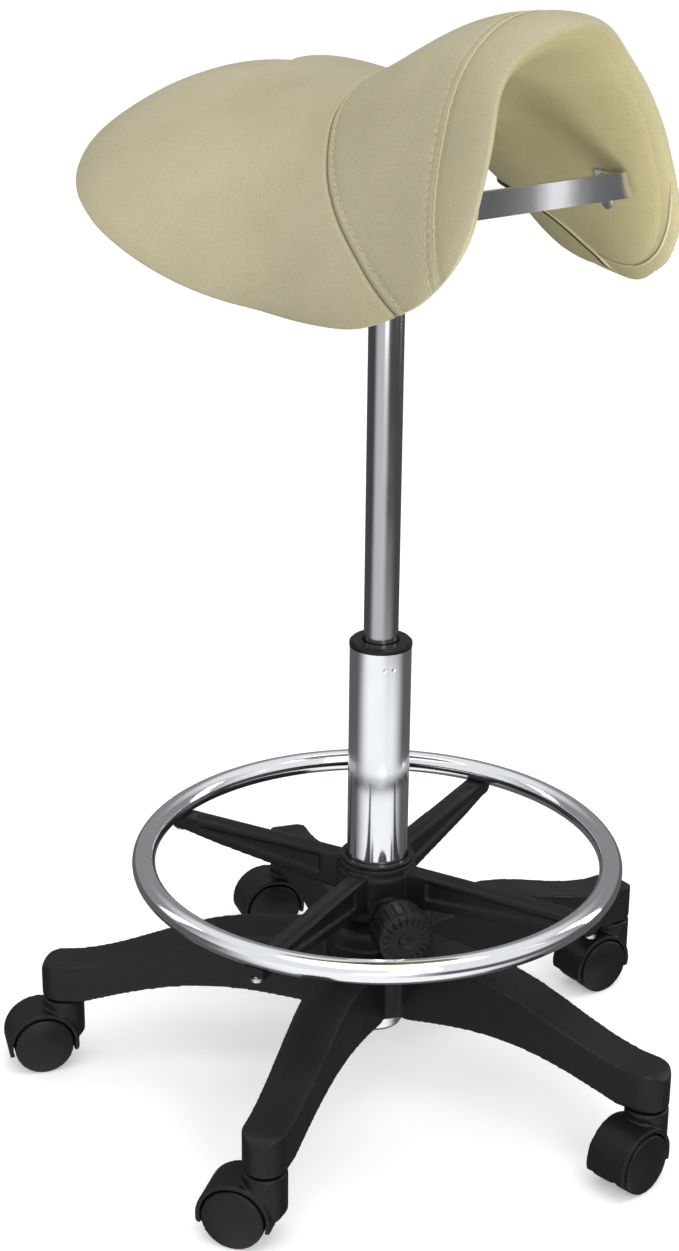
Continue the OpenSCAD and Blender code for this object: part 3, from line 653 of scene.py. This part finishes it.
def seam_relief(across, along):
    """How far the seams lift the cover's surface, in millimetres."""
    relief = np.zeros(len(across))
    for seam in (SEAM_A, SEAM_B):
        away, travel = seam_place(across, along, seam)
        from_stitches = away - seam.stitches
        height, place, width = seam.roll
        relief += height * bell(away - place, width)
        for depth, width in (seam.groove, seam.hollow):
            relief -= depth * bell(away, width)
        relief -= STITCH_SINK * bell(from_stitches, STITCH_SINK_WIDTH)
        relief -= PUCKER * ripple(travel, seam.seed) * bell(from_stitches, PUCKER_WIDTH)
    return relief


def mesh_object(name, points, faces):
    mesh = bpy.data.meshes.new(name)
    mesh.from_pydata([tuple(p) for p in points], [], faces)
    mesh.polygons.foreach_set("use_smooth", [True] * len(mesh.polygons))
    piece = bpy.data.objects.new(name, mesh)
    bpy.context.scene.collection.objects.link(piece)
    return piece


def read_points(mesh, what="co"):
    values = np.zeros(len(mesh.vertices) * 3, np.float32)
    mesh.vertices.foreach_get(what, values)
    return values.reshape(-1, 3).astype(float)


def write_points(mesh, points):
    mesh.vertices.foreach_set("co", points.astype(np.float32).ravel())
    mesh.update()


def set_attribute(mesh, name, values):
    attribute = mesh.attributes.new(name, "FLOAT", "POINT")
    attribute.data.foreach_set("value", values.astype(np.float32))


def get_attribute(mesh, name):
    values = np.zeros(len(mesh.vertices), np.float32)
    mesh.attributes[name].data.foreach_get("value", values)
    return values.astype(float)


def bake_modifiers(piece):
    """Applies every modifier of the piece to its mesh."""
    graph = bpy.context.evaluated_depsgraph_get()
    mesh = bpy.data.meshes.new_from_object(piece.evaluated_get(graph))
    piece.modifiers.clear()
    piece.data = mesh


def inflate(piece, held, frames=20):
    """Swells the piece by cloth simulation, holding each point by its weight in held."""
    group = piece.vertex_groups.new(name="held")
    for weight in np.unique(held[held > 0]):
        group.add(np.nonzero(held == weight)[0].tolist(), float(weight), "REPLACE")
    rest = read_points(piece.data)
    cloth = piece.modifiers.new("cloth", "CLOTH")
    cloth.settings.vertex_group_mass = group.name
    cloth.settings.use_pressure = True
    cloth.settings.uniform_pressure_force = PRESSURE
    cloth.settings.effector_weights.gravity = 0.0
    cloth.point_cache.frame_start, cloth.point_cache.frame_end = 1, frames
    for number in range(1, frames + 1):
        bpy.context.scene.frame_set(number)
    bake_modifiers(piece)
    bpy.context.scene.frame_set(1)
    move = read_points(piece.data) - rest
    size = np.linalg.norm(move, axis=1, keepdims=True)
    move *= np.minimum(1, SWELL_LIMIT * MM / np.maximum(size, 1e-9))
    write_points(piece.data, rest + move)
    piece.vertex_groups.clear()


def subdivide(piece, levels):
    modifier = piece.modifiers.new("smooth", "SUBSURF")
    modifier.levels = modifier.render_levels = levels
    bake_modifiers(piece)


def make_cover(material):
    across, along, depth, faces, zones = cover_mesh()
    inset = np.where(zones < INSIDE, START_INSET, 0.0) * np.where(depth >= 0, 1, -1)
    points = off_layer(across, along, depth - inset) * MM
    cover = mesh_object("saddle_cover", points, faces)
    set_attribute(cover.data, "across", across * MM)
    set_attribute(cover.data, "along", along * MM)
    # under marks the underside, which gets the painted shade of the leather and no seam relief.
    set_attribute(cover.data, "under", np.clip(UNDER_START - UNDER_RISE * depth / pad(along), 0, 1))
    near = [np.abs(seam_place(across, along, seam)[0]) for seam in (SEAM_A, SEAM_B)]
    held = np.where((zones > TOP) | (np.minimum(*near) < SEAM_HELD), 1.0, 0.0)
    inflate(cover, held)
    subdivide(cover, 2)
    mesh = cover.data
    across, along = get_attribute(mesh, "across") / MM, get_attribute(mesh, "along") / MM
    normals = read_points(mesh, "normal")
    relief = seam_relief(across, along) * (1 - get_attribute(mesh, "under")) * MM
    write_points(mesh, read_points(mesh) + normals * relief[:, None])
    mesh.materials.clear()
    mesh.materials.append(material)
    finish_piece(cover, "seat")
    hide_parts("saddle_cushion")
    return cover


def finish_piece(piece, body):
    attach(piece, body)


# ---------- seams on the cover ----------

def evenly(points, step):
    """The path through the points again, with a point at every step."""
    length = np.concatenate([[0], np.cumsum(np.linalg.norm(np.diff(points, axis=0), axis=1))])
    at = np.arange(0, length[-1], step)
    return np.stack([np.interp(at, length, points[:, k]) for k in range(3)], 1)


def seam_path(seam, offset, step):
    """Points in metres along a line beside a seam, over the seat from the left rim to the right."""
    across = np.arange(0, 300, 0.25)
    slope = -2 * seam.bend * across
    size = np.hypot(1, slope)
    a = across - slope / size * offset
    b = seam.start - seam.bend * across**2 + offset / size
    inside = rim_fraction(a, b) < 0.9995
    a, b = a[inside], b[inside]
    half = evenly(off_layer(a, b, cover_depth(a, b, 1)), step)
    mirrored = half[1:] * np.array([-1, 1, 1])
    return np.concatenate([mirrored[::-1], half]) * MM


BELOW = 2.5         # how far below the surface a path under the flap starts its search for it
PANEL_REACH = 0.8   # the lining's flat part ends at this share of the way to the rim


def under_path(stops, step):
    """Points in metres under the right flap, through stops of direction and fraction to the rim."""
    at = np.linspace(0, len(stops) - 1, 40 * len(stops))
    direction, rho = (curve(at, range(len(stops)), column) for column in zip(*stops))
    a, b = flat_place(np.radians(direction), rho)
    panel = np.where(rho < PANEL_REACH, LINING_LOW - BELOW, 0)
    depth = np.minimum(cover_depth(a, b, -1) - BELOW, panel)
    return evenly(off_layer(a, b, depth), step) * MM


def surface_tree(*pieces):
    """Search tree over the pieces' faces."""
    points, faces = [], []
    for piece in pieces:
        faces += [tuple(len(points) + k for k in face.vertices) for face in piece.data.polygons]
        points += [v.co.copy() for v in piece.data.vertices]
    return BVHTree.FromPolygons(points, faces)


def onto(tree, points, lift):
    """The points moved onto the surface in tree and lifted off it, and the normals there."""
    placed, normals = [], []
    for point in points:
        at, normal, _, _ = tree.find_nearest(Vector(point))
        placed.append(np.array(at + normal * lift))
        normals.append(np.array(normal))
    return np.array(placed), np.array(normals)


def tube(centres, normals, radii, sides):
    """Points and faces of a round tube along the centres, closed at both ends."""
    forward = np.gradient(centres, axis=0)
    forward /= np.linalg.norm(forward, axis=1, keepdims=True)
    sideways = np.cross(forward, normals)
    sideways /= np.linalg.norm(sideways, axis=1, keepdims=True)
    upward = np.cross(sideways, forward)
    angle = 2 * np.pi * np.arange(sides) / sides
    points = [c + r * (math.cos(t) * s + math.sin(t) * u)
              for c, s, u, r in zip(centres, sideways, upward, radii) for t in angle]
    rings = [[i * sides + k for k in range(sides)] for i in range(len(centres))]
    faces = [(here[k], here[(k + 1) % sides], ahead[(k + 1) % sides], ahead[k])
             for here, ahead in zip(rings, rings[1:]) for k in range(sides)]
    faces.append(tuple(rings[0])[::-1])
    faces.append(tuple(rings[-1]))
    return points, faces


CORD_STEP = 2.0
CORD_SIDES = 10
CORD_TAPER, CORD_TIP = 12, 0.25    # a cord's end narrows over 1/12 of its length, to a quarter
LIP_AHEAD = 3.0                    # how far the pale lip runs in front of the fold
# The welt and the fold under each flap, as directions in degrees and fractions of the way to the rim.
# The welt and the lip before the fold are pale as a painted highlight, and the fold is a dark cord that
# paints the shadow in the gap.
WELT = ((-50, 0.998), (-43, 0.975), (-38, 0.967), (-33, 0.957), (-30, 0.94), (-26, 0.89), (-24, 0.865))
FOLD = ((-22, 0.97), (-23.5, 0.89), (-22.5, 0.82), (-18.5, 0.69), (-10, 0.62), (0, 0.61), (12, 0.66))


def cord(name, tree, path, radius, lift, material):
    """A round cord laid along the path on the surface in tree, with tapered ends."""
    centres, normals = onto(tree, path, lift * MM)
    share = np.linspace(0, 1, len(centres))
    radii = radius * MM * np.clip(np.minimum(share, 1 - share) * CORD_TAPER, CORD_TIP, 1)
    points, faces = tube(centres, normals, radii, CORD_SIDES)
    piece = mesh_object(name, points, faces)
    piece.data.materials.append(material)
    finish_piece(piece, "seat")


def make_piping(tree, under_tree, welt_highlight_material, fold_shadow_material):
    """The thin welt along the front seam, whose paler leather adds a painted highlight to the light it
    catches, and under each flap a welt and a lip with the same painted highlight, and a dark fold cord
    that paints the shadow in the gap.
    """
    seam = seam_path(SEAM_B, 0.0, CORD_STEP)
    cord("seam_piping", tree, seam, 1.0, 0.25, welt_highlight_material)
    for side, name in ((1, "right"), (-1, "left")):
        mirror = np.array([side, 1, 1])
        welt = under_path(WELT, CORD_STEP) * mirror
        fold = under_path(FOLD, CORD_STEP) * mirror
        lip = fold + np.array([0, -LIP_AHEAD * MM, 0])
        # The welt and lip carry the painted highlight, and the fold cord the painted shadow in the gap
        # under the flap.
        cord(f"flap_welt_{name}", under_tree, welt, 1.1, 0.3, welt_highlight_material)
        cord(f"flap_fold_shadow_{name}", under_tree, fold, 2.2, -0.2, fold_shadow_material)
        cord(f"flap_lip_highlight_{name}", under_tree, lip, 1.3, 0.1, welt_highlight_material)


PITCH_POINTS, STITCH_POINTS = 8, 7    # points to a stitch and its hole, and to the stitch alone


def make_stitching(tree, material):
    """Both rows of topstitching, one short bowed thread for each stitch."""
    points, faces = [], []
    for seam in (SEAM_A, SEAM_B):
        line = seam_path(seam, seam.stitches, STITCH_PITCH / PITCH_POINTS)
        for first in range(0, len(line) - PITCH_POINTS, PITCH_POINTS):
            share = np.linspace(0, 1, STITCH_POINTS)
            centres, normals = onto(tree, line[first:first + STITCH_POINTS], 0.0)
            bow = (np.sin(np.pi * share) ** 0.6 * 0.75 - 0.4) * MM
            centres = centres + normals * bow[:, None]
            radii = (0.28 + 0.2 * np.sin(np.pi * share)) * MM
            more_points, more_faces = tube(centres, normals, radii, 8)
            faces += [tuple(len(points) + k for k in face) for face in more_faces]
            points += more_points
    stitching = mesh_object("seam_stitching", points, faces)
    stitching.data.materials.append(material)
    finish_piece(stitching, "seat")


# ---------- underside lining ----------

BOARD_X, BOARD_FRONT, BOARD_BACK = 70.0, 50.0, 80.0
LINING_TOP, LINING_LOW = -11.7, -14.7
LINING_THICK = LINING_TOP - LINING_LOW
LINING_OVER = 0.7    # how far the lining stands off the cover
LINING_PROUD = 1.2   # how much further its free edge stands off
LINING_TUCK = 2.2    # how far its edge turns into the cover in front
# How far out the lining reaches, by direction: it runs into the cover in front, and shows a slit
# elsewhere.
LINING_AT = (-90, -60, -40, -26, -16, 15, 35, 90)
LINING_EDGE = (0.955, 0.955, 0.95, 0.945, 0.935, 0.915, 0.843, 0.843)
LINING_SINK = (1.0, 1.0, 1.0, 1.0, 0.0, 0.0, 0.0, 0.0)
# Each loop of the lining: how far out it is, from the hole to the edge, and how deep in its thickness.
LINING_LOOPS = ((0.02, 0.0), (0.2, 0.0), (0.4, 0.0), (0.6, 0.0), (0.8, 0.0), (0.92, 0.0),
                (0.98, 0.05), (0.995, 0.2), (1.0, 0.5), (0.995, 0.8), (0.98, 0.96), (0.95, 1.0),
                (0.88, 1.0), (0.8, 1.0), (0.7, 1.0), (0.6, 1.0), (0.4, 1.0), (0.2, 1.0),
                (0.03, 1.0), (0.006, 0.85), (0.0, 0.5), (0.006, 0.15))


def make_lining(material):
    """The upholstered panel that closes the underside, round the mounting board."""
    spokes = np.radians(1.5 * np.arange(240))
    front_back = np.where(np.sin(spokes) > 0, BOARD_BACK - SEAT_MIDDLE, SEAT_MIDDLE + BOARD_FRONT)
    reach = np.minimum(BOARD_X / np.maximum(0.01, np.abs(np.cos(spokes))),
                       front_back / np.maximum(0.01, np.abs(np.sin(spokes))))
    hole = reach / outline(spokes)
    heading = np.degrees(np.arcsin(np.sin(spokes)))
    edge = curve(heading, LINING_AT, LINING_EDGE)
    sink = np.clip(curve(heading, LINING_AT, LINING_SINK), 0, 1)
    points = []
    for share, down in LINING_LOOPS:
        rho = hole + (edge - hole) * share
        across, along = flat_place(spokes, rho)
        over_cover = cover_depth(across, along, -1) - LINING_OVER
        outer = np.clip((rho - PANEL_REACH) / 0.06, 0, 1)
        free = over_cover - LINING_PROUD * (1 - sink)
        low = np.minimum(LINING_LOW, over_cover) * (1 - outer) + outer * free
        low += sink * LINING_TUCK * np.clip((share - 0.93) / 0.07, 0, 1)
        top = np.where(outer > 0, low + LINING_THICK, LINING_TOP)
        points += list(off_layer(across, along, top + (low - top) * down) * MM)
    n, m = len(spokes), len(LINING_LOOPS)
    loops = [[j * n + k for k in range(n)] for j in range(m)]
    faces = [(here[k], ahead[k], ahead[(k + 1) % n], here[(k + 1) % n])
             for here, ahead in zip(loops, loops[1:] + loops[:1]) for k in range(n)]
    lining = mesh_object("saddle_lining", points, faces)
    subdivide(lining, 1)
    lining.data.materials.append(material)
    finish_piece(lining, "seat")
    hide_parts("underside_liner")
    return lining


# ---------- rounded mouldings ----------

def rounded(node, name, voxel, passes, material):
    """A copy of a CAD node with the soft edges of a moulding, which stands for that node.

    voxel is the size of its new mesh in millimetres, and passes how often that mesh is smoothed.
    """
    piece = bpy.data.objects.new(name, nodes[node].data.copy())
    bpy.context.scene.collection.objects.link(piece)
    remesh = piece.modifiers.new("remesh", "REMESH")
    remesh.mode = "VOXEL"
    remesh.voxel_size = voxel * MM
    remesh.use_smooth_shade = True
    relax = piece.modifiers.new("relax", "SMOOTH")
    relax.factor = 0.5
    relax.iterations = passes
    bake_modifiers(piece)
    piece.data.materials.clear()
    piece.data.materials.append(material)
    finish_piece(piece, body_of[node])
    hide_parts(node)


def dress(materials):
    """Gives every CAD node that is still shown its slot's material."""
    for name, node in nodes.items():
        if not node.hide_render:
            node.data.materials.clear()
            node.data.materials.append(materials[slot_of[name]])


# ---------- the stool ----------

def make_materials():
    """The finish of each of the record's material slots."""
    black = (0.006, 0.006, 0.0064)
    return {
        "black_nylon": moulded("black_nylon_spark", black, (0.018, 0.018, 0.019), (0.36, 0.5),
                               0.7 * MM, 0.1 * MM),
        "caster_nylon": moulded("caster_nylon_satin", black, (0.014, 0.014, 0.015), (0.34, 0.46),
                                0.9 * MM, 0.05 * MM),
        "knob_plastic": moulded("knob_satin", black, (0.016, 0.016, 0.017), (0.36, 0.5),
                                0.6 * MM, 0.05 * MM),
        "black_collar": moulded("collar_gloss", black, (0.012, 0.012, 0.013), (0.24, 0.36),
                                1.0 * MM, 0.02 * MM),
        "shell_plastic": moulded("shell_moulding", (0.03, 0.03, 0.031), (0.06, 0.06, 0.06), (0.45, 0.6),
                                 1.2 * MM, 0.1 * MM),
        "rubber": moulded("moulded_rubber", (0.02, 0.02, 0.02), (0.035, 0.035, 0.034), (0.6, 0.75),
                          0.8 * MM, 0.08 * MM),
        "chrome": polished("chrome_plate", (0.8, 0.81, 0.83), (0.08, 0.16)),
        "satin_steel": ground("ground_steel", (0.42, 0.42, 0.43), (0.14, 0.2), (1.0, 1.0, 0.04)),
        "zinc_steel": plated("zinc_plate", (0.66, 0.67, 0.68), (0.5, 0.51, 0.52), (0.26, 0.42)),
        "dark_steel": plated("black_oxide", (0.1, 0.1, 0.11), (0.05, 0.05, 0.055), (0.35, 0.55)),
        "brass": plated("turned_brass", (0.78, 0.62, 0.32), (0.6, 0.44, 0.2), (0.22, 0.38)),
        "black_paint": painted(),
        "plywood": plywood(),
        # Painted shade: the lining is given the shaded copy of the leather.
        "khaki_leather": leather("lining_leather_shaded", LEATHER_UNDER_SHADED, linear(171, 162, 121)),
    }


place_camera()
light_studio()
lay_floor()
materials = make_materials()
cover = make_cover(leather("saddle_leather", LEATHER, LEATHER_DEEP, cover=True))
lining = make_lining(materials["khaki_leather"])
# Painted highlight: the piping, welts and lips are a paler leather that stands for the light caught on
# their edges.
welt_highlight_leather = leather("welt_highlight_leather", linear(196, 189, 158), linear(188, 180, 148))
# Painted shadow: a near-black leather for the fold cords, which stand for the shadowed gap under each
# flap.
fold_shadow_leather = leather("fold_shadow", linear(70, 60, 32), linear(52, 44, 24))
make_piping(surface_tree(cover), surface_tree(cover, lining), welt_highlight_leather, fold_shadow_leather)
make_stitching(surface_tree(cover), thread_material())
rounded("star_base", "base_moulding", 1.4, 5, materials["black_nylon"])
rounded("ring_spider", "spider_moulding", 1.1, 4, materials["black_nylon"])
rounded("clamp_knob", "knob_moulding", 0.4, 1, materials["knob_plastic"])
for k in range(1, 6):
    rounded(f"caster_{k}_body", f"caster_{k}_housing", 0.9, 4, materials["caster_nylon"])
    for side in ("left", "right"):
        rounded(f"caster_{k}_wheel_{side}", f"caster_{k}_disc_{side}", 0.8, 3, materials["caster_nylon"])
dress(materials)
